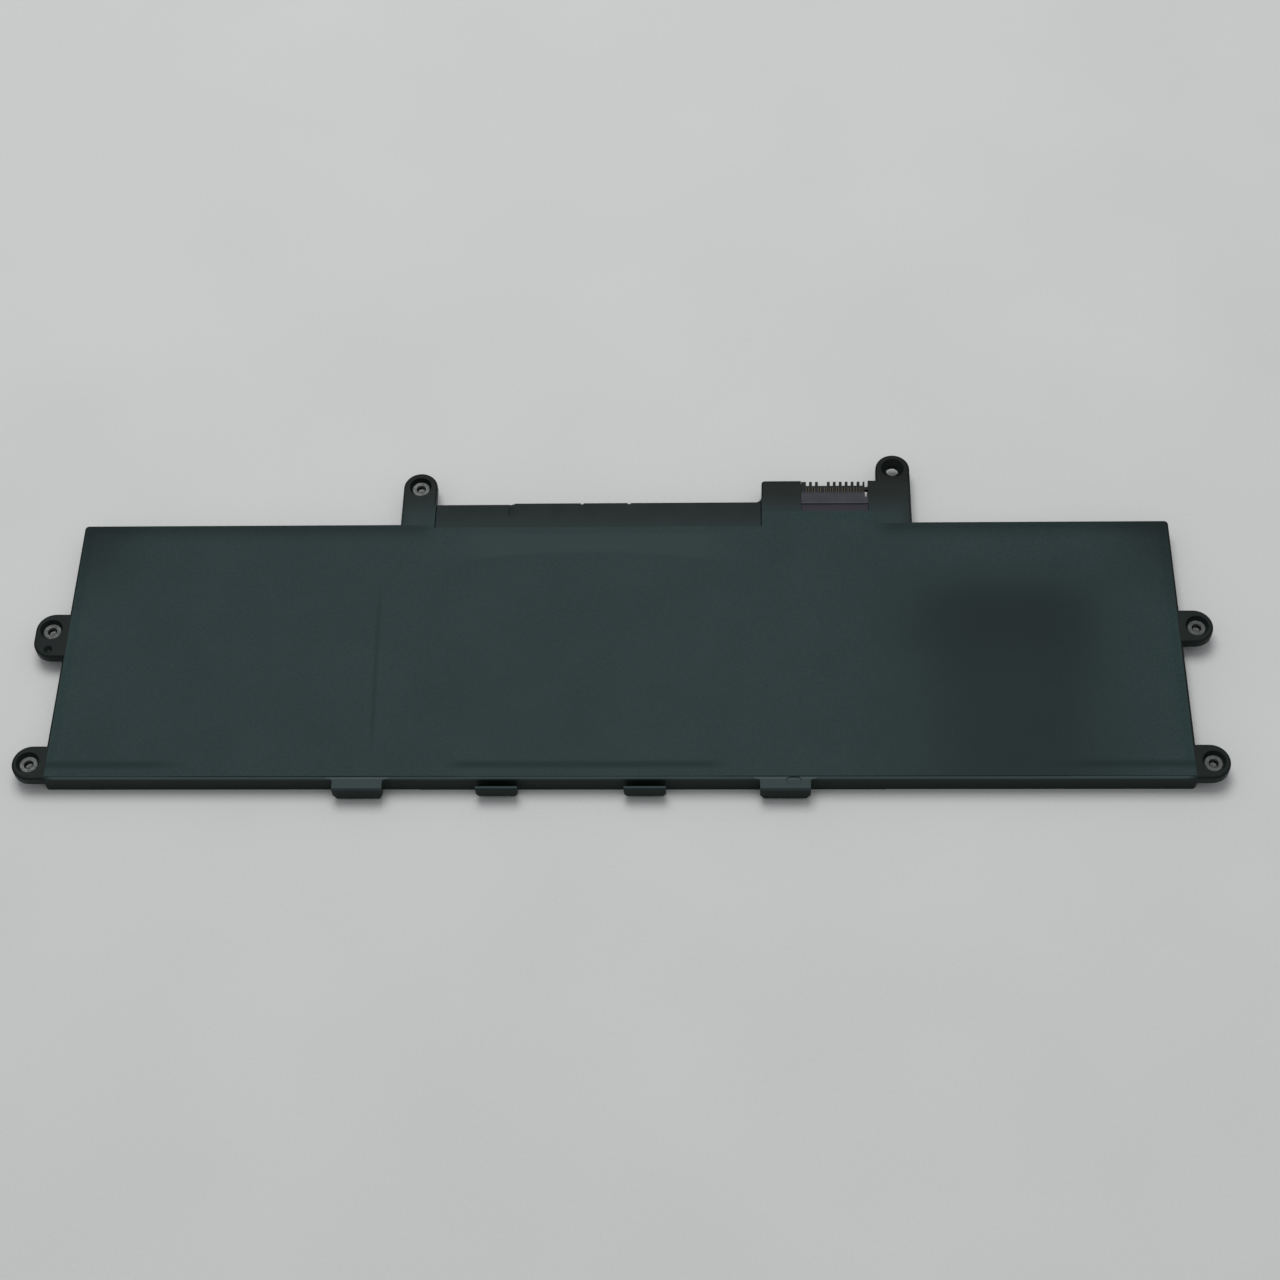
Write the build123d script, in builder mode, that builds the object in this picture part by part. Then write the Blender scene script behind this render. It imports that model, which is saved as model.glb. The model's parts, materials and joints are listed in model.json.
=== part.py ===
from build123d import *
import os

os.makedirs("parts", exist_ok=True)

# A slim laptop battery: three pouch cells in a moulded frame, closed by a film above and below.
# Millimetres. X runs along the pack, Y towards the connector side, Z up from the surface it lies on.
# Plan positions are measured from the middle of the body, and the origin is the middle of the footprint.

# Films
film_thickness = 0.2
pad_rise = 0.25
pad_front_lap = 0.4
pad_side_lap = 3.2
pad_back_lap = 6.3

# Cells
cell_length = 70.0
cell_depth = 60.0
cell_clearance = 0.4
cell_headroom = 0.05
cell_corner = 1.6
cell_edge = 0.7
terrace_depth = 2.8
terrace_thickness = 0.4
terrace_setback = 2.0
tape_thickness = 0.1
tape_inset = 3.0

# Cell tabs and nickel strips
tab_width = 5.0
tab_thickness = 0.2
tab_spacing = 36.0
strip_width = 2.2
strip_thickness = 0.15
strip_landing = 4.0
lane_gap = 0.3
lane_margin = 0.4
tongue_width = 2.0
tongue_length = 2.0
left_tongue_inset = 10.0
right_tongue_inset = 22.0
paper_thickness = 0.15
paper_inset = 1.5

# Frame body
frame_height = 5.1
wall = 1.2
deck_thickness = 1.0
side_rail = 4.6
front_rail = 3.8
left_web = 16.7
right_web = 33.7
body_corner = 1.0
edge_round = 0.6
shelf_height = 2.2
shelf_thickness = 0.9
web_core_count = 4
rail_core_count = 4
right_web_columns = 2

# Ears and bushes
back_ear_radius = 4.3
side_ear_radius = 4.6
side_ear_reach = 3.2
ear_thickness = 2.4
screw_reach = 3.9
screw_pitch = 37.7
long_ear_stretch = 3.3
dimple_offset = 5.8
dimple_radius = 1.1
dimple_tip_radius = 0.4
dimple_depth = 0.8
left_ear_reach = 11.6
right_ear_reach = 3.6
bush_radius = 2.1
bush_bore_radius = 0.9
bush_neck_radius = 1.6
bush_flange = 0.4
bush_fit = 0.02
bush_bevel = 0.3
recess_radius = 2.8
recess_depth = 1.1
plain_hole_radius = 1.6
sink_radius = 2.9
sink_angle = 100.0

# Front tabs and hooks
hook_axis = -10.4
hook_lift = 0.7
lead_in_height = 1.6
lead_in_width = 0.9
tab_spread = 100.7
front_tab_reach = 2.9
front_tab_width = 11.8
front_tab_root = 0.7
front_tab_bevel = 0.4
hook_spread = 34.9
hook_width = 9.9
hook_reach = 2.5
hook_floor = 1.1
hook_lip = 0.8
hook_lip_round = 0.35
hook_drop = 0.3
hook_under_round = 0.6
mark_offset = 2.0
mark_reach = 0.5
mark_length = 3.6
mark_width = 2.0
mark_depth = 0.3

# Board bay and its cover
bay_left = -47.2
bay_length = 82.3
bay_depth = 6.3
bay_wall = 0.9
bay_floor = 0.8
bay_fillet = 2.0
board_thickness = 0.8
board_clearance = 0.2
board_end_wall = 1.0
ledge_lap = 1.0
rib_count = 9
cover_thickness = 0.8
cover_fit = 0.1
cover_bevel = 0.2
film_edge_setback = 1.3
cover_step_offset = 19.2
cover_step = 0.35
cover_groove_width = 1.3
cover_groove_length = 4.0
cover_groove_depth = 0.6
cover_notch_offsets = (37.0, 48.9)
cover_notch_width = 0.7
cover_notch_depth = 0.3
peg_count = 3
peg_width = 1.8
peg_offset = 9.95
peg_spacing = 30.0
peg_inset = 1.0

# Connector
block_width = 10.0
block_corner = 0.8
post_width = 2.1
connector_width = 16.8
connector_depth = 6.6
connector_fit = 0.05
connector_stand_off = 0.7
connector_setback = 0.5
connector_lift = 0.3
connector_drop = 0.1
foot_depth = 2.6
foot_drop = 0.5
contact_count = 10
contact_pitch = 1.5
slot_width = 0.8
slot_length = 3.2
slot_depth = 1.7
key_slot_index = 2
side_gap = 0.8
side_gap_length = 4.7
side_nub_width = 0.9
side_nub_height = 1.0
side_nub_setback = 1.65
contact_thickness = 0.4
contact_fit = 0.03
contact_tail = 1.2
contact_sheet = 0.25
contact_riser = 0.8
beam_thickness = 0.16
beam_length = 1.4
fork_base = 0.5
fork_height = 1.1
film_lap = 0.1

# Parts on the board
chip_edge = 0.1

# Heights above the surface
frame_bottom = film_thickness
frame_top = frame_bottom + frame_height
cell_bottom = frame_bottom + tape_thickness
cell_top = frame_top + pad_rise - cell_headroom
shelf_top = frame_bottom + shelf_height
weld_level = shelf_top + tab_thickness
strip_top = weld_level + strip_thickness
board_bottom = weld_level - board_thickness
ear_bottom = frame_top - ear_thickness
hook_bottom = frame_bottom + hook_lift
cover_bottom = frame_top - cover_thickness
housing_bottom = frame_bottom + connector_lift
housing_top = frame_top - connector_drop
slot_floor = housing_top - slot_depth

# Plan of the body
pocket_length = cell_length + 2 * cell_clearance
pocket_depth = cell_depth + 2 * cell_clearance
channel_depth = terrace_depth - cell_clearance + 2 * (lane_gap + strip_width) + lane_margin
body_length = 2 * side_rail + 3 * pocket_length + left_web + right_web
body_width = front_rail + pocket_depth + channel_depth + wall
body_end = body_length / 2
body_back = body_width / 2
body_front = -body_back
pocket_front = body_front + front_rail
channel_front = pocket_front + pocket_depth
channel_back = channel_front + channel_depth
left_cell_x = -body_end + side_rail + pocket_length / 2
middle_cell_x = left_cell_x + pocket_length + left_web
right_cell_x = middle_cell_x + pocket_length + right_web
cell_places = {"left": left_cell_x, "middle": middle_cell_x, "right": right_cell_x}
cell_front = pocket_front + cell_clearance
cell_back = cell_front + cell_depth
cell_middle = (cell_front + cell_back) / 2
terrace_back = cell_back + terrace_depth
near_lane = terrace_back + lane_gap + strip_width / 2
far_lane = near_lane + strip_width + lane_gap

# Plan of the bay and the connector, in a row along the back
bay_right = bay_left + bay_length
bay_back = body_back + bay_depth
connector_left = bay_right + block_width
connector_right = connector_left + connector_width
post_right = connector_right + post_width
board_left = bay_left + board_end_wall + board_clearance
board_right = post_right - board_end_wall - 2 * board_clearance
board_front = far_lane - strip_width / 2
board_back = bay_back - bay_wall - board_clearance
board_middle = (board_front + board_back) / 2
housing_front = board_back + connector_stand_off
housing_back = housing_front + connector_depth
foot_front = housing_front - foot_depth
block_back = housing_back + connector_setback
film_edge = body_back - film_edge_setback
film_inset = edge_round
film_back = foot_front - film_lap
ledge_front = film_back - ledge_lap
cover_step_x = bay_left + cover_step_offset
cover_notches = [bay_left + offset for offset in cover_notch_offsets]
peg_places = [board_left + peg_offset + i * peg_spacing for i in range(peg_count)]
connector_middle = (connector_left + connector_right) / 2
slot_front = housing_back - slot_length
slot_places = [connector_middle + (i - (contact_count - 1) / 2) * contact_pitch for i in range(contact_count)]

# Screw places
side_ear_x = body_end + side_ear_reach
screw_x = body_end + screw_reach
front_screw_y = body_front + side_ear_radius
side_screw_y = front_screw_y + screw_pitch
left_ear_x = bay_left - back_ear_radius
left_ear_y = body_back + left_ear_reach
right_ear_x = post_right + back_ear_radius
right_ear_y = block_back + right_ear_reach
bush_places = {
    "front_left": (-screw_x, front_screw_y),
    "front_right": (screw_x, front_screw_y),
    "side_left": (-screw_x, side_screw_y),
    "side_right": (screw_x, side_screw_y),
    "back_left": (left_ear_x, left_ear_y),
}

# Front edge
front_tab_front = body_front - front_tab_reach
hook_front = body_front - hook_reach
tab_places = [hook_axis - tab_spread / 2, hook_axis + tab_spread / 2]
hook_places = [hook_axis - hook_spread / 2, hook_axis + hook_spread / 2]

# The footprint runs from the front tabs to the end of the right back ear
middle_y = (front_tab_front + right_ear_y + back_ear_radius) / 2


def plan(height):
    """The plan of the pack, measured from the middle of the body, at a height above the surface."""
    return Plane((0, -middle_y, height))


def section(x):
    """An upright plane across the pack, with Y to the right and Z up."""
    return Plane((x, -middle_y, 0), x_dir=(0, 1, 0), z_dir=(1, 0, 0))


def facing(y):
    """An upright plane along the pack, seen from the front, with X to the right and Z up."""
    return Plane((0, y - middle_y, 0), x_dir=(1, 0, 0), z_dir=(0, -1, 0))


def lead_in(edge, inward):
    """A triangle over the lower corner of a tab, inward from its side edge and outward over its root."""
    outer = edge - inward
    points = ((edge + inward, hook_bottom), (outer, hook_bottom + 2 * lead_in_height), (outer, hook_bottom))
    Polygon(*points, align=(Align.NONE, Align.NONE))


def span(left, right, front, back, mode=Mode.ADD):
    """A rectangle between two X and two Y positions, in the open sketch."""
    with Locations(((left + right) / 2, (front + back) / 2)):
        Rectangle(right - left, back - front, mode=mode)


def cores(left, right, front, back, columns, rows):
    """A grid of hollows between two X and two Y positions, with a wall around and between them."""
    pitch_x = (right - left - wall) / columns
    pitch_y = (back - front - wall) / rows
    with Locations(((left + right) / 2, (front + back) / 2)):
        with GridLocations(pitch_x, pitch_y, columns, rows):
            Rectangle(pitch_x - wall, pitch_y - wall)


def corner(sketch, x, y):
    """The vertex of a sketch nearest to a plan position."""
    return sketch.vertices().sort_by_distance((x, y, 0))[0]


def side_ear(x, y, stretch=0.0):
    """A round ear from the body's end, made longer towards the front by a stretch."""
    inner = body_end - side_rail / 2 if x > 0 else side_rail / 2 - body_end
    with Locations((x, y), (x, y - stretch)):
        Circle(side_ear_radius)
    span(min(x, inner), max(x, inner), y - stretch - side_ear_radius, y + side_ear_radius)
    if stretch:
        span(x - side_ear_radius, x, y - stretch, y)


def back_ear(x, y):
    """A round ear on an arm from the body's back edge."""
    with Locations((x, y)):
        Circle(back_ear_radius)
    span(x - back_ear_radius, x + back_ear_radius, channel_back, y)


# Moulded frame
with BuildPart() as frame:
    with BuildSketch(plan(frame_bottom)) as outline:
        Rectangle(body_length, body_width)
        fillet(outline.vertices(), body_corner)
        span(bay_left, bay_right, board_front, bay_back)
        span(bay_right, post_right, board_front, block_back)
        fillet(corner(outline, bay_right, bay_back), bay_fillet)
        fillet(corner(outline, bay_right, block_back), block_corner)
    extrude(amount=frame_height)
    with BuildSketch(plan(ear_bottom)):
        side_ear(-side_ear_x, front_screw_y)
        side_ear(side_ear_x, front_screw_y)
        side_ear(-side_ear_x, side_screw_y, long_ear_stretch)
        side_ear(side_ear_x, side_screw_y)
        back_ear(left_ear_x, left_ear_y)
        back_ear(right_ear_x, right_ear_y)
    extrude(amount=ear_thickness)
    fillet(frame.faces().sort_by(Axis.Z)[-1].outer_wire().edges(), edge_round)
    # Solid front tabs
    with BuildSketch(plan(hook_bottom)) as tab_plan:
        for x in tab_places:
            left = x - front_tab_width / 2
            right = x + front_tab_width / 2
            span(left, right, front_tab_front, body_front + wall)
            span(left - 2 * front_tab_root, right + 2 * front_tab_root, body_front, body_front + wall)
            fillet([corner(tab_plan, left, body_front), corner(tab_plan, right, body_front)], front_tab_root)
    extrude(amount=frame_top - hook_bottom)
    tab_edges = frame.edges().filter_by(Axis.X).group_by(Axis.Y)[0]
    chamfer(tab_edges.group_by(Axis.Z)[-1], front_tab_bevel)
    # Hooks: a floor out of the wall and an upright lip, a little lower than the top
    hook_top = frame_top - hook_drop
    for x in hook_places:
        with BuildSketch(section(x)) as hook:
            span(hook_front, body_front + wall / 2, hook_bottom, hook_bottom + hook_floor)
            span(hook_front, hook_front + hook_lip, hook_bottom, hook_top)
            fillet(corner(hook, hook_front, hook_bottom), hook_under_round)
            fillet(corner(hook, hook_front, hook_top), hook_lip_round)
            fillet(corner(hook, hook_front + hook_lip, hook_top), hook_lip_round)
        extrude(amount=hook_width / 2, both=True)
    # Lower side corners of the tabs and hooks, cut to slide into their slots
    with BuildSketch(facing(front_tab_front)):
        for x in tab_places:
            lead_in(x - front_tab_width / 2, lead_in_width)
            lead_in(x + front_tab_width / 2, -lead_in_width)
        for x in hook_places:
            lead_in(x - hook_width / 2, lead_in_width)
            lead_in(x + hook_width / 2, -lead_in_width)
    extrude(amount=-front_tab_reach, mode=Mode.SUBTRACT)
    # Pockets for the cells, right through
    with BuildSketch(plan(frame_bottom)):
        for x in cell_places.values():
            span(x - pocket_length / 2, x + pocket_length / 2, pocket_front, channel_front)
    extrude(amount=frame_height, mode=Mode.SUBTRACT)
    # Channel for the tabs and strips, over a thin shelf
    with BuildSketch(plan(shelf_top)):
        span(wall - body_end, body_end - wall, channel_front, channel_back)
    extrude(amount=frame_top - shelf_top, mode=Mode.SUBTRACT)
    with BuildSketch(plan(frame_bottom)):
        span(wall - body_end, bay_left, channel_front, channel_back)
        span(post_right, body_end - wall, channel_front, channel_back)
    extrude(amount=shelf_height - shelf_thickness, mode=Mode.SUBTRACT)
    # Pocket for the board, with a ledge over its back edge at the block and at the post, and ribs under it
    pocket_left = board_left - board_clearance
    pocket_right = board_right + board_clearance
    pocket_near = board_front - board_clearance
    pocket_far = board_back + board_clearance
    with BuildSketch(plan(board_bottom)):
        span(pocket_left, pocket_right, pocket_near, pocket_far)
    extrude(amount=board_thickness + board_clearance, mode=Mode.SUBTRACT)
    with BuildSketch(plan(board_bottom)):
        span(pocket_left, pocket_right, pocket_near, ledge_front)
        span(pocket_left, bay_right, pocket_near, pocket_far)
        span(connector_left - connector_fit, connector_right + connector_fit, pocket_near, pocket_far)
    extrude(amount=frame_top - board_bottom, mode=Mode.SUBTRACT)
    with BuildSketch(plan(frame_bottom + bay_floor)):
        cores(board_left, board_right, board_front, board_back, rib_count, 1)
    extrude(amount=board_bottom - frame_bottom - bay_floor, mode=Mode.SUBTRACT)
    # Rebate for the cover
    with BuildSketch(plan(cover_bottom)):
        span(bay_left, bay_right, board_front - board_clearance, bay_back)
    extrude(amount=cover_thickness, mode=Mode.SUBTRACT)
    # Open pocket for the connector
    with BuildSketch(plan(frame_bottom)):
        span(connector_left - connector_fit, connector_right + connector_fit, pocket_far, block_back)
    extrude(amount=frame_height, mode=Mode.SUBTRACT)
    # Hollows from below, under the decks and in the rails
    with BuildSketch(plan(frame_bottom)):
        web_start = left_cell_x + pocket_length / 2
        cores(web_start, web_start + left_web, body_front, channel_front, 1, web_core_count)
        web_start = middle_cell_x + pocket_length / 2
        cores(web_start, web_start + right_web, body_front, channel_front, right_web_columns, web_core_count)
        for x in cell_places.values():
            cores(x - pocket_length / 2, x + pocket_length / 2, body_front, pocket_front, rail_core_count, 1)
        cores(-body_end, side_rail - body_end, body_front, channel_front, 1, rail_core_count)
        cores(body_end - side_rail, body_end, body_front, channel_front, 1, rail_core_count)
        cores(bay_right, connector_left, board_back, block_back, 1, 1)
    extrude(amount=frame_height - deck_thickness, mode=Mode.SUBTRACT)
    # Seats for the bushes, the plain hole, the dimple and the oval mark
    with Locations(plan(frame_top)):
        with Locations(*bush_places.values()):
            CounterBoreHole(
                radius=bush_neck_radius + bush_fit,
                counter_bore_radius=bush_radius + bush_fit,
                counter_bore_depth=recess_depth + bush_flange,
                depth=ear_thickness,
            )
            with Locations((0, 0, -recess_depth / 2)):
                Cone(bush_radius + bush_fit, recess_radius, recess_depth, mode=Mode.SUBTRACT)
        with Locations((right_ear_x, right_ear_y)):
            CounterSinkHole(
                radius=plain_hole_radius,
                counter_sink_radius=sink_radius,
                counter_sink_angle=sink_angle,
                depth=ear_thickness,
            )
        with Locations((-screw_x, side_screw_y - dimple_offset, -dimple_depth / 2)):
            Cone(dimple_tip_radius, dimple_radius, dimple_depth, mode=Mode.SUBTRACT)
    with BuildSketch(plan(frame_top)):
        with Locations((tab_places[1] + mark_offset, body_front - mark_reach)):
            SlotOverall(mark_length, mark_width)
    extrude(amount=-mark_depth, mode=Mode.SUBTRACT)
frame.part.label = "frame"
export_step(frame.part, "parts/frame.step")

# Top film, raised over each cell
with BuildPart() as top_film:
    with BuildSketch(plan(frame_top)):
        span(film_inset - body_end, body_end - film_inset, body_front + film_inset, body_back - film_inset)
        span(bay_right, post_right - film_inset, board_front, film_back)
        span(bay_left, bay_right, film_edge, body_back, mode=Mode.SUBTRACT)
    extrude(amount=film_thickness)
    crest_inset = cell_edge / 2
    pad_foot_length = cell_length + 2 * pad_side_lap
    pad_foot_depth = cell_depth + pad_front_lap + pad_back_lap
    pad_foot_y = cell_middle + (pad_back_lap - pad_front_lap) / 2
    for level, mode in ((frame_top + film_thickness, Mode.ADD), (frame_top, Mode.SUBTRACT)):
        for x in cell_places.values():
            with BuildSketch(plan(level)) as pad_foot:
                with Locations((x, pad_foot_y)):
                    Rectangle(pad_foot_length, pad_foot_depth)
            with BuildSketch(plan(level + pad_rise)) as pad_crest:
                with Locations((x, cell_middle)):
                    Rectangle(cell_length - 2 * crest_inset, cell_depth - 2 * crest_inset)
            loft(sections=[pad_foot.sketch, pad_crest.sketch], ruled=True, mode=mode)
top_film.part.label = "top_film"
export_step(top_film.part, "parts/top_film.step")

# Bottom film
with BuildPart() as bottom_film:
    with BuildSketch(plan(0)):
        span(film_inset - body_end, body_end - film_inset, body_front + film_inset, body_back - film_inset)
        span(bay_left + film_inset, post_right - film_inset, body_front, board_back)
    extrude(amount=film_thickness)
bottom_film.part.label = "bottom_film"
export_step(bottom_film.part, "parts/bottom_film.step")

# Cover strip over the board, with pegs between the board's parts that hold the board down
with BuildPart() as board_cover:
    with BuildSketch(plan(cover_bottom)):
        span(bay_left + cover_fit, bay_right - cover_fit, board_front, bay_back)
        span(bay_left, cover_step_x, bay_back - cover_step, bay_back, mode=Mode.SUBTRACT)
        with Locations(*[(x, bay_back) for x in cover_notches]):
            Rectangle(cover_notch_width, 2 * cover_notch_depth, mode=Mode.SUBTRACT)
    extrude(amount=cover_thickness)
    chamfer(board_cover.faces().sort_by(Axis.Z)[-1].edges(), cover_bevel)
    with BuildSketch(plan(frame_top)):
        with Locations((cover_step_x, bay_back - cover_groove_length / 2)):
            Rectangle(cover_groove_width, cover_groove_length)
    extrude(amount=-cover_groove_depth, mode=Mode.SUBTRACT)
    with BuildSketch(plan(weld_level)):
        with Locations(*[(x, board_back - peg_inset) for x in peg_places]):
            Rectangle(peg_width, peg_width)
    extrude(amount=cover_bottom - weld_level)
board_cover.part.label = "board_cover"
export_step(board_cover.part, "parts/board_cover.step")

# Cells, each with its tape and its two tabs
for side, x in cell_places.items():
    with BuildPart() as cell:
        with BuildSketch(plan(cell_bottom)) as cell_plan:
            with Locations((x, cell_middle)):
                Rectangle(cell_length, cell_depth)
            chamfer(cell_plan.vertices(), cell_corner)
        extrude(amount=cell_top - cell_bottom)
        chamfer(cell.faces().filter_by(Axis.Z).edges(), cell_edge)
        with BuildSketch(plan(shelf_top)):
            span(
                x - cell_length / 2 + terrace_setback,
                x + cell_length / 2 - terrace_setback,
                cell_middle,
                terrace_back,
            )
        extrude(amount=terrace_thickness)
    cell.part.label = f"cell_{side}"
    export_step(cell.part, f"parts/cell_{side}.step")

    with BuildPart() as tape:
        with BuildSketch(plan(frame_bottom)):
            with Locations((x, cell_middle)):
                Rectangle(cell_length - 2 * tape_inset, cell_depth - 2 * tape_inset)
        extrude(amount=tape_thickness)
    tape.part.label = f"cell_tape_{side}"
    export_step(tape.part, f"parts/cell_tape_{side}.step")

    # The tab at each end of the chain is longer, to reach the far lane
    for pole, way in (("negative", -1), ("positive", 1)):
        end_of_chain = (side, pole) in (("left", "negative"), ("right", "positive"))
        lane = far_lane if end_of_chain else near_lane
        tab_x = x + way * tab_spacing / 2
        with BuildPart() as cell_tab:
            with BuildSketch(plan(shelf_top)):
                span(tab_x - tab_width / 2, tab_x + tab_width / 2, terrace_back, lane + strip_width / 2)
            extrude(amount=tab_thickness)
        cell_tab.part.label = f"{pole}_tab_{side}"
        export_step(cell_tab.part, f"parts/{pole}_tab_{side}.step")

# Nickel strips: each runs between two X positions in a lane, and a link has a tongue onto the board
chain_left = left_cell_x - tab_spacing / 2 - tab_width / 2
chain_right = right_cell_x + tab_spacing / 2 + tab_width / 2
left_link_left = left_cell_x + tab_spacing / 2 - tab_width / 2
left_link_right = middle_cell_x - tab_spacing / 2 + tab_width / 2
right_link_left = middle_cell_x + tab_spacing / 2 - tab_width / 2
right_link_right = right_cell_x - tab_spacing / 2 + tab_width / 2
strips = {
    "negative_strip": (chain_left, board_left + strip_landing, far_lane, None),
    "left_link_strip": (left_link_left, left_link_right, near_lane, board_left + left_tongue_inset),
    "right_link_strip": (right_link_left, right_link_right, near_lane, board_right - right_tongue_inset),
    "positive_strip": (board_right - strip_landing, chain_right, far_lane, None),
}
for name, (left, right, lane, tongue) in strips.items():
    with BuildPart() as strip:
        with BuildSketch(plan(weld_level)):
            span(left, right, lane - strip_width / 2, lane + strip_width / 2)
            if tongue is not None:
                span(tongue - tongue_width / 2, tongue + tongue_width / 2, lane, board_front + tongue_length)
        extrude(amount=strip_thickness)
    strip.part.label = name
    export_step(strip.part, f"parts/{name}.step")

# Insulating paper over the strips beside the board
papers = {
    "left": (left_cell_x - cell_length / 2 + paper_inset, board_left - paper_inset),
    "right": (board_right + paper_inset, right_cell_x + cell_length / 2 - paper_inset),
}
for side, (left, right) in papers.items():
    with BuildPart() as paper:
        with BuildSketch(plan(strip_top)):
            span(left, right, terrace_back, channel_back - lane_margin / 2)
        extrude(amount=paper_thickness)
    paper.part.label = f"insulating_paper_{side}"
    export_step(paper.part, f"parts/insulating_paper_{side}.step")

# Circuit board
with BuildPart() as circuit_board:
    with BuildSketch(plan(board_bottom)):
        span(board_left, board_right, board_front, board_back)
    extrude(amount=board_thickness)
circuit_board.part.label = "circuit_board"
export_step(circuit_board.part, "parts/circuit_board.step")

# Parts on the board: distance from its left end, then length, width and height
board_items = {
    "fuse": (7.0, 4.0, 3.0, 0.9),
    "charge_transistor": (15.0, 5.0, 6.0, 1.0),
    "discharge_transistor": (22.0, 5.0, 6.0, 1.0),
    "protection_chip": (33.0, 3.5, 3.5, 0.8),
    "gauge_chip": (48.0, 5.0, 5.0, 0.9),
    "sense_resistor": (62.0, 6.4, 3.2, 0.7),
    "thermistor": (74.0, 1.6, 0.8, 0.6),
}
for name, (along, length, width, height) in board_items.items():
    with BuildPart() as item:
        with BuildSketch(plan(weld_level)):
            with Locations((board_left + along, board_middle)):
                Rectangle(length, width)
        extrude(amount=height)
        chamfer(item.faces().sort_by(Axis.Z)[-1].edges(), chip_edge)
    item.part.label = name
    export_step(item.part, f"parts/{name}.step")


def contact_path(margin):
    """The side view of a contact up to its fork, grown by a margin: a tail on the board and a riser."""
    tail_front = foot_front - contact_tail
    riser_front = slot_front - contact_riser
    riser_top = slot_floor + fork_height
    Polygon(
        (tail_front - margin, weld_level),
        (slot_front, weld_level),
        (slot_front, riser_top + margin),
        (riser_front - margin, riser_top + margin),
        (riser_front - margin, weld_level + contact_sheet + margin),
        (tail_front - margin, weld_level + contact_sheet + margin),
        align=None,
    )


# Connector housing: a body beyond the board's edge and a lower foot that stands on the board
with BuildPart() as connector_housing:
    with BuildSketch(plan(housing_bottom)):
        span(connector_left, connector_right, housing_front, housing_back)
    extrude(amount=housing_top - housing_bottom)
    with BuildSketch(plan(weld_level)):
        span(connector_left, connector_right, foot_front, housing_front)
    extrude(amount=housing_top - foot_drop - weld_level)
    # Comb of slots, open above and behind, with one divider left out as a key
    with BuildSketch(plan(slot_floor)):
        for x in slot_places:
            span(x - slot_width / 2, x + slot_width / 2, slot_front, housing_back)
        span(slot_places[key_slot_index], slot_places[key_slot_index + 1], slot_front, housing_back)
    extrude(amount=slot_depth, mode=Mode.SUBTRACT)
    # Gap along the right side, crossed by a small nub
    with BuildSketch(plan(housing_bottom)):
        span(connector_right - side_gap, connector_right, housing_back - side_gap_length, housing_back)
    extrude(amount=housing_top - housing_bottom, mode=Mode.SUBTRACT)
    with BuildSketch(plan(housing_top - side_nub_height)):
        nub_back = housing_back - side_nub_setback
        span(slot_places[-1] + slot_width / 2, connector_right, nub_back - side_nub_width, nub_back)
    extrude(amount=side_nub_height)
    # Passages for the contacts
    for x in slot_places:
        with BuildSketch(section(x)):
            contact_path(contact_fit)
        extrude(amount=contact_thickness / 2 + contact_fit, both=True, mode=Mode.SUBTRACT)
connector_housing.part.label = "connector_housing"
export_step(connector_housing.part, "parts/connector_housing.step")

# Contacts: a tail on the board, a riser, and a fork of two leaves in the slot
fork_width = slot_width - 2 * contact_fit
for number, x in enumerate(slot_places, 1):
    with BuildPart() as contact:
        with BuildSketch(section(x)):
            contact_path(0)
        extrude(amount=contact_thickness / 2, both=True)
        with BuildSketch(plan(slot_floor)):
            span(x - fork_width / 2, x + fork_width / 2, slot_front, slot_front + fork_base + beam_length)
            span(
                x - fork_width / 2 + beam_thickness,
                x + fork_width / 2 - beam_thickness,
                slot_front + fork_base,
                slot_front + fork_base + beam_length,
                mode=Mode.SUBTRACT,
            )
        extrude(amount=fork_height)
    contact.part.label = f"contact_{number:02d}"
    export_step(contact.part, f"parts/contact_{number:02d}.step")

# Flanged bushes in the ears
bush_top = frame_top - recess_depth
for place, (x, y) in bush_places.items():
    with BuildPart() as bush:
        with BuildSketch(plan(ear_bottom)):
            with Locations((x, y)):
                Circle(bush_neck_radius)
        extrude(amount=bush_top - ear_bottom)
        with BuildSketch(plan(bush_top - bush_flange)):
            with Locations((x, y)):
                Circle(bush_radius)
        extrude(amount=bush_flange)
        with Locations(plan(bush_top)):
            with Locations((x, y)):
                Hole(radius=bush_bore_radius)
        chamfer(bush.faces().sort_by(Axis.Z)[-1].inner_wires().edges(), bush_bevel)
    bush.part.label = f"bush_{place}"
    export_step(bush.part, f"parts/bush_{place}.step")
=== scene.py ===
import json
import math

import bpy
import numpy as np
from mathutils import Matrix, Vector


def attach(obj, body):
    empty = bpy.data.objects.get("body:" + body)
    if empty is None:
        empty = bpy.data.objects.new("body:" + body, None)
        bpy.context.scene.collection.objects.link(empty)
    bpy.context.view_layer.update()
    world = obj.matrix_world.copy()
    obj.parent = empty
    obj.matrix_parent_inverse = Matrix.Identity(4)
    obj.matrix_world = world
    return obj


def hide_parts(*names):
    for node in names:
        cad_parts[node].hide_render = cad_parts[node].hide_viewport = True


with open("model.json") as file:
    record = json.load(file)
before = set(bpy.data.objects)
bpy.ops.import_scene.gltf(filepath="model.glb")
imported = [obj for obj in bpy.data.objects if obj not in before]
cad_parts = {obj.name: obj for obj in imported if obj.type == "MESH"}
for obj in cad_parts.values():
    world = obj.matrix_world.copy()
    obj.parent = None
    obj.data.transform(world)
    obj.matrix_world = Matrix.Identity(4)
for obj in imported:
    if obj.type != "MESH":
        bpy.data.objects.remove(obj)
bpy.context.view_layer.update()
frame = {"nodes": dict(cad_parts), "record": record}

# Plan positions are millimetres from the middle of the body, as in the part's source.
MM = 0.001
BODY_Y = -9.0
FILM_LOW = 5.3
FILM_THICKNESS = 0.2
FILM_RISE = 0.24
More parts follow.
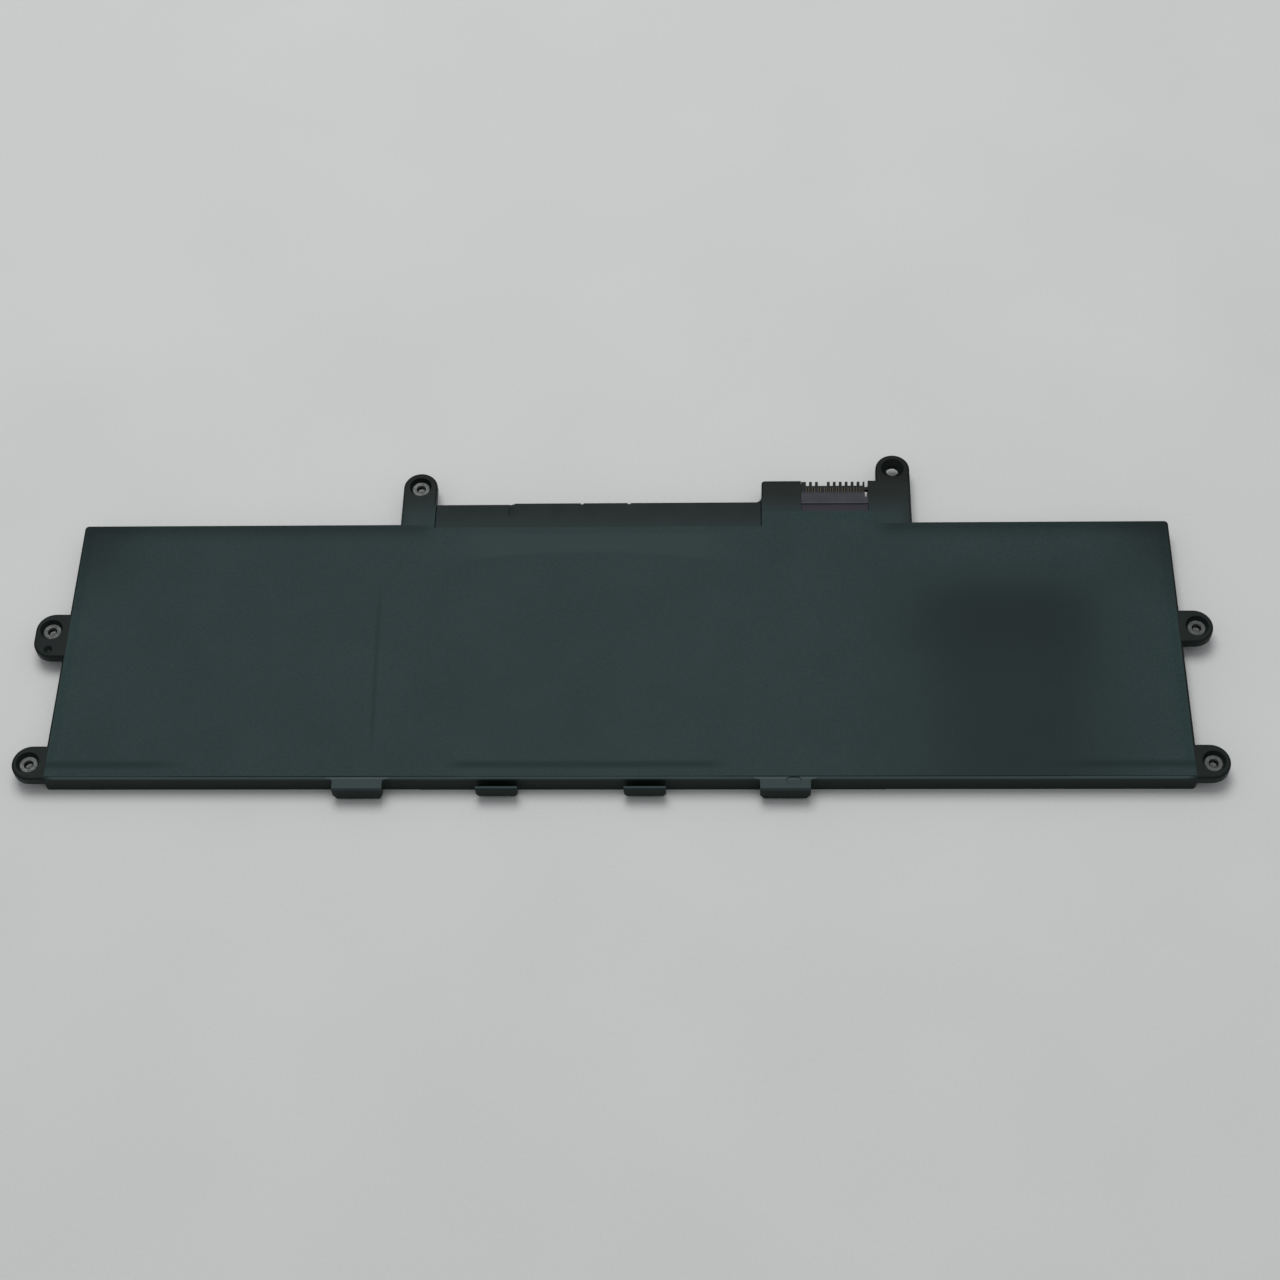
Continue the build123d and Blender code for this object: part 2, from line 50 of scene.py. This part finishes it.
FILM_LIMIT = 0.25
# The film's outline: its ends, front and back, the edge at the board bay, and the tongue before the connector
FILM_END = 135.4
FILM_FRONT = -36.2
FILM_BACK = 36.2
BAY_LEFT = -47.2
BAY_EDGE = 35.5
TONGUE_LEFT = 35.1
TONGUE_RIGHT = 63.4
TONGUE_BACK = 40.0
# The film's back slope: its crest, with the middle, half length, shift and bend of the part over the middle
# cell, where the crest of the side cells starts, and the foot of the slope
CREST = 27.0
CREST_MIDDLE = -8.5
CREST_HALF = 35.0
CREST_SHIFT = 0.6
CREST_BEND = 3.2
SIDE_START = 47.0
FOOT = 32.5


def metres(x, y, z):
    """A plan position in millimetres as a point of the shared frame."""
    return Vector((x * MM, (y + BODY_Y) * MM, z * MM))


def smooth(t):
    """A soft step from 0 to 1."""
    t = np.clip(t, 0.0, 1.0)
    return t * t * (3.0 - 2.0 * t)


# Materials

def node_tools(tree):
    """A function that adds a node to a tree with its settings, and one that links two sockets."""

    def add(kind, **settings):
        node = tree.nodes.new(kind)
        for key, value in settings.items():
            setattr(node, key, value)
        return node

    return add, tree.links.new


def start_material(name, specular=0.5, metallic=0.0):
    """A new node material, its shader, and the two functions that add and link its nodes."""
    material = bpy.data.materials.new(name)
    material.use_nodes = True
    shader = material.node_tree.nodes["Principled BSDF"]
    shader.inputs["Specular IOR Level"].default_value = specular
    shader.inputs["Metallic"].default_value = metallic
    return material, shader, *node_tools(material.node_tree)


def noise_node(add, link, coords, size, detail=2.0, roughness=0.5):
    """A noise texture whose features are about size millimetres wide."""
    node = add("ShaderNodeTexNoise")
    node.inputs["Scale"].default_value = 1.0 / (size * MM)
    node.inputs["Detail"].default_value = detail
    node.inputs["Roughness"].default_value = roughness
    link(coords, node.inputs["Vector"])
    return node.outputs["Fac"]


def ramp(add, link, value, low, high, to_low, to_high):
    """A value from one range put into another, held at its ends."""
    node = add("ShaderNodeMapRange", clamp=True)
    for key, number in zip(("From Min", "From Max", "To Min", "To Max"), (low, high, to_low, to_high)):
        node.inputs[key].default_value = number
    link(value, node.inputs["Value"])
    return node.outputs["Result"]


def mix_colour(add, link, factor, first, second):
    """A blend of two colours; either may be a socket."""
    node = add("ShaderNodeMix", data_type="RGBA")
    for key, colour in (("A", first), ("B", second)):
        socket = next(s for s in node.inputs if s.name == key and s.type == "RGBA")
        if isinstance(colour, tuple):
            socket.default_value = (*colour, 1.0)
        else:
            link(colour, socket)
    link(factor, next(s for s in node.inputs if s.name == "Factor" and s.type == "VALUE"))
    return next(s for s in node.outputs if s.type == "RGBA")


def grained(name, dark, light, patch, grain, depth, rough, specular=0.5, metallic=0.0, patchy=0.5):
    """A surface with soft patches of colour, a fine grain in its colour and relief, and uneven gloss."""
    material, shader, add, link = start_material(name, specular, metallic)
    coords = add("ShaderNodeTexCoord").outputs["Object"]
    patches = noise_node(add, link, coords, patch)
    grains = noise_node(add, link, coords, grain, detail=3.0, roughness=0.6)
    both = add("ShaderNodeMath", operation="ADD")
    link(ramp(add, link, patches, 0.3, 0.7, 0.0, patchy), both.inputs[0])
    link(ramp(add, link, grains, 0.3, 0.7, 0.0, 1.0 - patchy), both.inputs[1])
    link(mix_colour(add, link, both.outputs[0], dark, light), shader.inputs["Base Color"])
    link(ramp(add, link, grains, 0.3, 0.7, rough - 0.06, rough + 0.06), shader.inputs["Roughness"])
    bump = add("ShaderNodeBump")
    bump.inputs["Strength"].default_value = 1.0
    bump.inputs["Distance"].default_value = depth * MM
    link(grains, bump.inputs["Height"])
    link(bump.outputs["Normal"], shader.inputs["Normal"])
    return material


def turned(name, dark, light, rings, rough):
    """Turned metal: faint rings round the middle of each piece, small stains, and painted shade in the bore.
    """
    material, shader, add, link = start_material(name, 0.5, 1.0)
    places = add("ShaderNodeTexCoord")
    middle = add("ShaderNodeVectorMath", operation="SUBTRACT")
    middle.inputs[1].default_value = (0.5, 0.5, 0.0)
    link(places.outputs["Generated"], middle.inputs[0])
    flat = add("ShaderNodeVectorMath", operation="MULTIPLY")
    flat.inputs[1].default_value = (1.0, 1.0, 0.0)
    link(middle.outputs["Vector"], flat.inputs[0])
    radius = add("ShaderNodeVectorMath", operation="LENGTH")
    link(flat.outputs["Vector"], radius.inputs[0])
    turns = add("ShaderNodeMath", operation="MULTIPLY")
    turns.inputs[1].default_value = rings * 2.0 * math.tau
    link(radius.outputs["Value"], turns.inputs[0])
    wave = add("ShaderNodeMath", operation="SINE")
    link(turns.outputs[0], wave.inputs[0])
    stains = noise_node(add, link, places.outputs["Object"], 0.9, detail=3.0)
    both = add("ShaderNodeMath", operation="ADD")
    link(ramp(add, link, wave.outputs[0], -1.0, 1.0, 0.0, 0.3), both.inputs[0])
    link(ramp(add, link, stains, 0.3, 0.7, 0.0, 0.7), both.inputs[1])
    metal = mix_colour(add, link, both.outputs[0], dark, light)
    # Painted shade: near the middle of each piece, in the bore, the metal turns nearly black
    bore = ramp(add, link, radius.outputs["Value"], 0.21, 0.24, 0.85, 0.0)
    link(mix_colour(add, link, bore, metal, (0.004, 0.004, 0.004)), shader.inputs["Base Color"])
    link(ramp(add, link, stains, 0.3, 0.7, rough + 0.06, rough - 0.06), shader.inputs["Roughness"])
    return material


def axis_ramp(add, link, coords, axis, start, stop, middle=None, low=0.0, high=1.0):
    """A soft step from low at start to high at stop, along an axis or along the distance from a middle."""
    split = add("ShaderNodeSeparateXYZ")
    link(coords, split.inputs[0])
    value = split.outputs[axis]
    shift = BODY_Y if axis == "Y" else 0.0
    if middle is not None:
        away = add("ShaderNodeMath", operation="SUBTRACT")
        away.inputs[1].default_value = (middle + shift) * MM
        link(value, away.inputs[0])
        side = add("ShaderNodeMath", operation="ABSOLUTE")
        link(away.outputs[0], side.inputs[0])
        value = side.outputs[0]
        shift = 0.0
    ends = (low, high) if start < stop else (high, low)
    first, last = sorted((start, stop))
    node = add("ShaderNodeMapRange", interpolation_type="SMOOTHSTEP")
    numbers = ((first + shift) * MM, (last + shift) * MM, *ends)
    for key, number in zip(("From Min", "From Max", "To Min", "To Max"), numbers):
        node.inputs[key].default_value = number
    link(value, node.inputs["Value"])
    return node.outputs["Result"]


def product(add, link, factors):
    """Several factors multiplied."""
    result = factors[0]
    for factor in factors[1:]:
        node = add("ShaderNodeMath", operation="MULTIPLY")
        link(result, node.inputs[0])
        link(factor, node.inputs[1])
        result = node.outputs[0]
    return result


def tone(material, find_factor, colour):
    """Blends a material into another colour by a factor of the place."""
    shader = material.node_tree.nodes["Principled BSDF"]
    add, link = node_tools(material.node_tree)
    coords = add("ShaderNodeTexCoord").outputs["Object"]
    factor = find_factor(add, link, coords)
    before = shader.inputs["Base Color"].links[0].from_socket
    link(mix_colour(add, link, factor, before, colour), shader.inputs["Base Color"])


def right_cell_shade(add, link, coords):
    """Painted shade on the film over the right cell, strongest towards the back."""
    return product(add, link, [
        axis_ramp(add, link, coords, "X", 54.0, 88.0),
        axis_ramp(add, link, coords, "X", 131.0, 102.0),
        axis_ramp(add, link, coords, "Y", 29.0, 9.0),
        axis_ramp(add, link, coords, "Y", -12.0, 6.0, low=0.62, high=0.86),
    ])


def back_corner_shade(add, link, coords):
    """Painted shade at the two back corners of the film."""
    return product(add, link, [
        axis_ramp(add, link, coords, "X", 112.0, 138.0, middle=0.0),
        axis_ramp(add, link, coords, "Y", 4.0, 37.0, high=0.6),
    ])


def back_edge_shade(add, link, coords):
    """Painted shade on the film along the back edge, left and right of the cover."""
    return product(add, link, [
        axis_ramp(add, link, coords, "X", 54.0, 60.0, middle=8.0),
        axis_ramp(add, link, coords, "Y", 30.0, 36.0, high=0.5),
    ])


def along_line(add, link, coords, slant, middle, near, far):
    """1 within near of the line x + slant y = middle and 0 beyond far from it, in millimetres."""
    across = add("ShaderNodeVectorMath", operation="DOT_PRODUCT")
    across.inputs[1].default_value = (1.0, slant, 0.0)
    link(coords, across.inputs[0])
    away = add("ShaderNodeMath", operation="SUBTRACT")
    away.inputs[1].default_value = (middle + slant * BODY_Y) * MM
    link(across.outputs["Value"], away.inputs[0])
    side = add("ShaderNodeMath", operation="ABSOLUTE")
    link(away.outputs[0], side.inputs[0])
    return ramp(add, link, side.outputs[0], near * MM, far * MM, 1.0, 0.0)


def back_slope_sheen(add, link, coords):
    """A painted sheen on the back slope of the middle cell, behind its bent crest."""
    place = add("ShaderNodeVectorMath", operation="SUBTRACT")
    place.inputs[1].default_value = metres(CREST_MIDDLE, CREST + CREST_SHIFT, 0.0)
    link(coords, place.inputs[0])
    split = add("ShaderNodeSeparateXYZ")
    link(place.outputs["Vector"], split.inputs[0])
    square = add("ShaderNodeMath", operation="MULTIPLY")
    link(split.outputs["X"], square.inputs[0])
    link(split.outputs["X"], square.inputs[1])
    bent = add("ShaderNodeMath", operation="MULTIPLY_ADD")
    bent.inputs[1].default_value = CREST_BEND / (CREST_HALF**2 * MM)
    link(square.outputs[0], bent.inputs[0])
    link(split.outputs["Y"], bent.inputs[2])
    return product(add, link, [
        ramp(add, link, bent.outputs[0], -0.5 * MM, 0.8 * MM, 0.0, 1.0),
        axis_ramp(add, link, coords, "Y", 34.4, 32.0),
        axis_ramp(add, link, coords, "X", 36.0, 24.0, middle=-7.0),
    ])


def front_fold_shade(add, link, coords):
    """Painted shade on the folds along the front of the cells: over the middle one and at the outer ends of
    the others.
    """
    middle = axis_ramp(add, link, coords, "X", 35.0, 28.0, middle=-7.0)
    ends = axis_ramp(add, link, coords, "X", 98.0, 114.0, middle=0.0)
    either = add("ShaderNodeMath", operation="ADD")
    link(middle, either.inputs[0])
    link(ends, either.inputs[1])
    return product(add, link, [either.outputs[0], axis_ramp(add, link, coords, "Y", 1.5, 0.2, middle=-33.1)])


def crease(add, link, coords):
    """Painted shade along the crease between the left and the middle cell."""
    return product(add, link, [
        along_line(add, link, coords, 0.0302, -58.83, 0.15, 0.75),
        axis_ramp(add, link, coords, "Y", -32.0, -22.0),
        axis_ramp(add, link, coords, "Y", 20.0, 10.0, high=0.55),
    ])


def near_film_sheen(add, link, coords):
    """A painted sheen on the top of the frame behind the film and at the roots of the back ears."""
    return product(add, link, [
        axis_ramp(add, link, coords, "Z", 4.6, 5.1),
        axis_ramp(add, link, coords, "X", 66.0, 61.0, middle=8.0),
        axis_ramp(add, link, coords, "Y", 46.5, 37.5),
    ])


def back_ear_shade(add, link, coords):
    """Painted shade on the tips of the two back ears."""
    return axis_ramp(add, link, coords, "Y", 46.5, 51.5)


def front_tab_sheen(add, link, coords):
    """A painted sheen on the tops of the front tabs."""
    return product(add, link, [
        axis_ramp(add, link, coords, "Z", 4.6, 5.1),
        axis_ramp(add, link, coords, "Y", -36.6, -37.2),
    ])


def front_rim_highlight(add, link, coords):
    """A painted highlight along the rounded front edge."""
    return product(add, link, [
        axis_ramp(add, link, coords, "Z", 4.65, 4.95),
        axis_ramp(add, link, coords, "Y", -36.0, -36.2),
        axis_ramp(add, link, coords, "Y", -37.1, -36.8),
        axis_ramp(add, link, coords, "X", 136.0, 133.0, middle=0.0),
    ])


def front_wall_light(add, link, coords):
    """Painted light on the upright front of the frame."""
    return product(add, link, [
        axis_ramp(add, link, coords, "Z", 4.9, 4.5),
        axis_ramp(add, link, coords, "Y", -36.3, -36.7),
    ])


def cover_front_sheen(add, link, coords):
    """A painted sheen on the part of the cover next to the film."""
    return axis_ramp(add, link, coords, "Y", 42.0, 35.5, high=0.7)


def comb_shade(add, link, coords):
    """Painted shade on the slotted end of the connector."""
    return axis_ramp(add, link, coords, "Y", 45.4, 46.6)


def housing_foot(add, link, coords):
    """The foot of the connector."""
    return axis_ramp(add, link, coords, "Y", 42.6, 42.3)


def foot_step_light(add, link, coords):
    """Painted light on the edge between the connector and its foot."""
    return axis_ramp(add, link, coords, "Y", 0.16, 0.08, middle=42.7)


# Each surface: its dark and light colour, the widths of its patches and grains and the depth of its grain in
# millimetres, and its roughness
FILM = grained(
    "film_matte", (0.0155, 0.0305, 0.0308), (0.0295, 0.0485, 0.0488),
    14.0, 0.45, 0.02, 0.55, specular=0.08, patchy=0.2,
)
# Painted sheen on the back slope of the middle cell
tone(FILM, back_slope_sheen, (0.029, 0.0455, 0.0465))
# Painted shade on the front folds
tone(FILM, front_fold_shade, (0.014, 0.028, 0.028))
# Painted shade along the crease
tone(FILM, crease, (0.013, 0.027, 0.027))
# Painted shade over the right cell
tone(FILM, right_cell_shade, (0.0112, 0.0192, 0.0205))
# Painted shade at the back corners of the film
tone(FILM, back_corner_shade, (0.006, 0.009, 0.0095))
# Painted shade along the back edges of the film
tone(FILM, back_edge_shade, (0.006, 0.011, 0.0115))
FRAME = grained(
    "frame_moulded", (0.005, 0.009, 0.0085), (0.012, 0.017, 0.016),
    9.0, 0.3, 0.012, 0.45, specular=0.09,
)
# Painted sheen on the frame behind the film
tone(FRAME, near_film_sheen, (0.016, 0.031, 0.031))
# Painted shade on the back ear tips
tone(FRAME, back_ear_shade, (0.004, 0.006, 0.0055))
# Painted light on the front wall
tone(FRAME, front_wall_light, (0.013, 0.021, 0.018))
# Painted sheen on the tab tops
tone(FRAME, front_tab_sheen, (0.029, 0.045, 0.047))
# Painted highlight along the front edge
tone(FRAME, front_rim_highlight, (0.048, 0.070, 0.070))
COVER = grained(
    "cover_moulded", (0.004, 0.009, 0.0085), (0.013, 0.020, 0.019),
    7.0, 0.3, 0.012, 0.45, specular=0.08,
)
# Painted sheen on the cover next to the film
tone(COVER, cover_front_sheen, (0.016, 0.029, 0.028))
HOUSING = grained(
    "housing_moulded", (0.024, 0.026, 0.035), (0.044, 0.045, 0.057),
    3.0, 0.2, 0.008, 0.45, specular=0.12,
)
# Painted shade on the connector's slotted end
tone(HOUSING, comb_shade, (0.007, 0.008, 0.009))
tone(HOUSING, housing_foot, (0.021, 0.021, 0.030))
# Painted light on the step of the connector's foot
tone(HOUSING, foot_step_light, (0.085, 0.085, 0.105))
GOLD = grained(
    "contact_plated", (0.034, 0.028, 0.018), (0.070, 0.058, 0.038),
    0.8, 0.1, 0.002, 0.4, metallic=1.0,
)
BUSH = turned("bush_turned", (0.044, 0.046, 0.047), (0.088, 0.090, 0.090), 5.0, 0.4)
POUCH = grained(
    "pouch_foil", (0.40, 0.41, 0.42), (0.52, 0.53, 0.54), 9.0, 0.5, 0.01, 0.4, metallic=0.7
)
TAPE = grained("tape_adhesive", (0.50, 0.50, 0.47), (0.62, 0.61, 0.57), 5.0, 0.4, 0.01, 0.6)
ALUMINIUM = grained(
    "tab_foil", (0.60, 0.61, 0.62), (0.72, 0.73, 0.74), 2.0, 0.2, 0.003, 0.3, metallic=1.0
)
NICKEL = grained(
    "strip_nickel", (0.50, 0.48, 0.44), (0.62, 0.60, 0.56), 3.0, 0.2, 0.003, 0.32, metallic=1.0
)
PAPER = grained("paper_fibre", (0.10, 0.16, 0.12), (0.16, 0.23, 0.18), 4.0, 0.25, 0.01, 0.75)
BOARD = grained("board_mask", (0.008, 0.045, 0.022), (0.014, 0.070, 0.034), 3.0, 0.3, 0.006, 0.35)
CHIP = grained("chip_epoxy", (0.012, 0.012, 0.013), (0.022, 0.022, 0.023), 1.0, 0.12, 0.006, 0.55)
CERAMIC = grained("ceramic_body", (0.30, 0.27, 0.22), (0.42, 0.38, 0.32), 0.8, 0.1, 0.004, 0.5)

BY_SLOT = {
    "frame_plastic": FRAME, "film": FILM, "cover_plastic": COVER, "connector_plastic": HOUSING,
    "contact_gold": GOLD, "bush_metal": BUSH, "pouch": POUCH, "tape": TAPE, "tab_aluminium": ALUMINIUM,
    "nickel": NICKEL, "paper": PAPER, "board": BOARD, "chip": CHIP, "ceramic": CERAMIC,
}
for entry in frame["record"]["subparts"]:
    node_object = frame["nodes"][entry["node"]]
    node_object.data.materials.clear()
    node_object.data.materials.append(BY_SLOT[entry["material_slot"]])


# The top film: a thin sheet drawn over the frame and the three cells

def grid_lines(low, high, step, fixed, fine):
    """Places from low to high, about a step apart, closer in the fine bands and through each fixed place."""
    edges = sorted({low, high, *fixed, *(end for start, stop, _ in fine for end in (start, stop))})
    places = [low]
    for start, stop in zip(edges, edges[1:]):
        middle = (start + stop) / 2
        width = min([step] + [gap for first, last, gap in fine if first < middle < last])
        count = max(1, math.ceil((stop - start) / width - 1e-6))
        places.extend(start + (stop - start) * i / count for i in range(1, count + 1))
    return np.array(places)


def inside(x, y):
    """True where a plan position lies on the film."""
    in_bay = BAY_LEFT < x < TONGUE_LEFT and y > BAY_EDGE
    on_body = abs(x) < FILM_END and FILM_FRONT < y < FILM_BACK and not in_bay
    return on_body or (TONGUE_LEFT < x < TONGUE_RIGHT and FILM_BACK < y < TONGUE_BACK)


def crest_shift(x):
    """How far the back crest lies from its usual line: it bends to the front over the middle cell."""
    off = abs(x - CREST_MIDDLE)
    bend = CREST_BEND * np.clip(off / CREST_HALF, 0.0, 1.0) ** 2
    middle = CREST_SHIFT - bend * smooth((SIDE_START - off) / 14.0)
    side = np.where(x < 0, -0.4, -0.1) * smooth((off - SIDE_START) / 4.0)
    return np.where(off < SIDE_START, middle, side)


def film_rise(x, y):
    """How far the film stands above the frame: it falls at its edges, folds at the cells and has a crease."""
    sides = smooth((FILM_END - abs(x)) / 2.6)
    webs = smooth(1.0 - abs(x + 52.2) / 17.0) + smooth(1.0 - abs(x - 43.8) / 29.0)
    back_end = np.where((x > TONGUE_LEFT) & (x < TONGUE_RIGHT), TONGUE_BACK, FILM_BACK)
    back = smooth((back_end - y) / 2.5)
    slope = np.clip((FOOT - y) / (FOOT - CREST - crest_shift(x)), 0.0, 1.0)
    back += (np.minimum(back, slope) - back) * smooth((33.5 - abs(x + 8.0)) / 5.0)
    folded = np.maximum(smooth((35.0 - abs(x + 7.0)) / 8.0), smooth((abs(x) - 100.0) / 12.0))
    gentle = 0.4 + 0.6 * np.clip((y - FILM_FRONT) / 5.2, 0.0, 1.0)
    front = gentle + (smooth((y + 34.2) / 2.4) - gentle) * folded
    along = (y + 30.9) / 49.7
    ridge = np.exp(-(((x + 57.9 + 1.5 * along) / 0.55) ** 2))
    ridge = ridge * smooth(along * 6.0) * smooth((1.0 - along) * 6.0)
    return np.minimum(FILM_RISE * sides * back * front * (1.0 - 0.3 * webs) + 0.05 * ridge, FILM_LIMIT)


def film_sheet():
    """The closed sheet of the film on a grid that is finer over its folds."""
    folds_x = [
        (-60.6, -56.4, 0.2), (-44.0, -28.0, 1.0), (12.0, 28.0, 1.0),
        (-FILM_END, -132.6, 0.4), (132.6, FILM_END, 0.4),
    ]
    folds_y = [(FILM_FRONT, -31.4, 0.24), (25.0, TONGUE_BACK, 0.5)]
    xs = grid_lines(-FILM_END, FILM_END, 2.5, [BAY_LEFT, TONGUE_LEFT, TONGUE_RIGHT], folds_x)
    ys = grid_lines(FILM_FRONT, TONGUE_BACK, 2.5, [BAY_EDGE, FILM_BACK, CREST, FOOT], folds_y)
    grid_x, grid_y = np.meshgrid(xs, ys, indexing="ij")
    grid_y += crest_shift(grid_x) * smooth((grid_y - 18.0) / 9.0) * smooth((35.0 - grid_y) / 8.0)
    rise = film_rise(grid_x, grid_y)
    places = {}
    points = []
    faces = []

    def point(i, j, top):
        key = (i, j, top)
        if key not in places:
            places[key] = len(points)
            level = FILM_LOW + rise[i, j] + (FILM_THICKNESS if top else 0.0)
            points.append(metres(xs[i], grid_y[i, j], level))
        return places[key]

    used = np.zeros((len(xs) - 1, len(ys) - 1), dtype=bool)
    for i in range(len(xs) - 1):
        for j in range(len(ys) - 1):
            used[i, j] = inside((xs[i] + xs[i + 1]) / 2, (ys[j] + ys[j + 1]) / 2)
    for i, j in zip(*np.nonzero(used)):
        ring = [(i, j), (i + 1, j), (i + 1, j + 1), (i, j + 1)]
        faces.append([point(a, b, True) for a, b in ring])
        faces.append([point(a, b, False) for a, b in reversed(ring)])
        beyond = ((i, j - 1), (i + 1, j), (i, j + 1), (i - 1, j))
        for side, (a, b) in enumerate(beyond):
            if 0 <= a < used.shape[0] and 0 <= b < used.shape[1] and used[a, b]:
                continue
            first, second = ring[side], ring[(side + 1) % 4]
            wall = [point(*first, False), point(*second, False), point(*second, True), point(*first, True)]
            faces.append(wall)
    mesh = bpy.data.meshes.new("film_sheet")
    mesh.from_pydata(points, [], faces)
    mesh.polygons.foreach_set("use_smooth", [True] * len(mesh.polygons))
    mesh.set_sharp_from_angle(angle=math.radians(40.0))
    mesh.materials.append(FILM)
    obj = bpy.data.objects.new("film_sheet", mesh)
    bpy.context.scene.collection.objects.link(obj)
    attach(obj, "root")
    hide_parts("top_film")


film_sheet()


# Floor, light and camera

def floor():
    """A pale floor under the part."""
    mesh = bpy.data.meshes.new("floor")
    half = 4.0
    corners = [(-half, -half, 0), (half, -half, 0), (half, half, 0), (-half, half, 0)]
    mesh.from_pydata(corners, [], [(0, 1, 2, 3)])
    obj = bpy.data.objects.new("floor", mesh)
    bpy.context.scene.collection.objects.link(obj)
    paper = grained(
        "floor_paper", (0.565, 0.567, 0.566), (0.605, 0.607, 0.606), 60.0, 0.8, 0.01, 0.8, specular=0.1
    )
    mesh.materials.append(paper)


def area_light(name, place, target, size, watts, colour):
    """A square soft light aimed at a point."""
    data = bpy.data.lights.new(name, "AREA")
    data.size = size
    data.energy = watts
    data.color = colour
    obj = bpy.data.objects.new(name, data)
    obj.location = place
    obj.rotation_euler = (Vector(target) - Vector(place)).to_track_quat("-Z", "Y").to_euler()
    bpy.context.scene.collection.objects.link(obj)


floor()
area_light("key_light", (-0.10, 0.44, 1.14), (0, 0, 0), 0.7, 8.4, (1.0, 0.995, 0.985))

scene = bpy.context.scene
scene.view_settings.view_transform = "Standard"
world = bpy.data.worlds.new("studio")
world.use_nodes = True
tree = world.node_tree
height = tree.nodes.new("ShaderNodeSeparateXYZ")
tree.links.new(tree.nodes.new("ShaderNodeTexCoord").outputs["Generated"], height.inputs[0])
sky = tree.nodes.new("ShaderNodeMapRange")
sky.inputs["To Min"].default_value = 0.22
sky.inputs["To Max"].default_value = 0.62
tree.links.new(height.outputs["Z"], sky.inputs["Value"])
tree.nodes["Background"].inputs["Color"].default_value = (0.96, 0.985, 1.0, 1.0)
tree.links.new(sky.outputs["Result"], tree.nodes["Background"].inputs["Strength"])
scene.world = world

camera_data = bpy.data.cameras.new("camera")
camera_data.lens = 2400.0 / 1280.0 * 36.0
camera_data.sensor_width = 36.0
camera = bpy.data.objects.new("camera", camera_data)
camera.location = (0.02832, -0.32273, 0.49529)
turn = (
    Matrix.Rotation(math.radians(4.188), 3, "Z")
    @ Matrix.Rotation(math.radians(32.851), 3, "X")
    @ Matrix.Rotation(math.radians(-3.707), 3, "Z")
)
camera.rotation_euler = turn.to_euler()
scene.collection.objects.link(camera)
scene.camera = camera
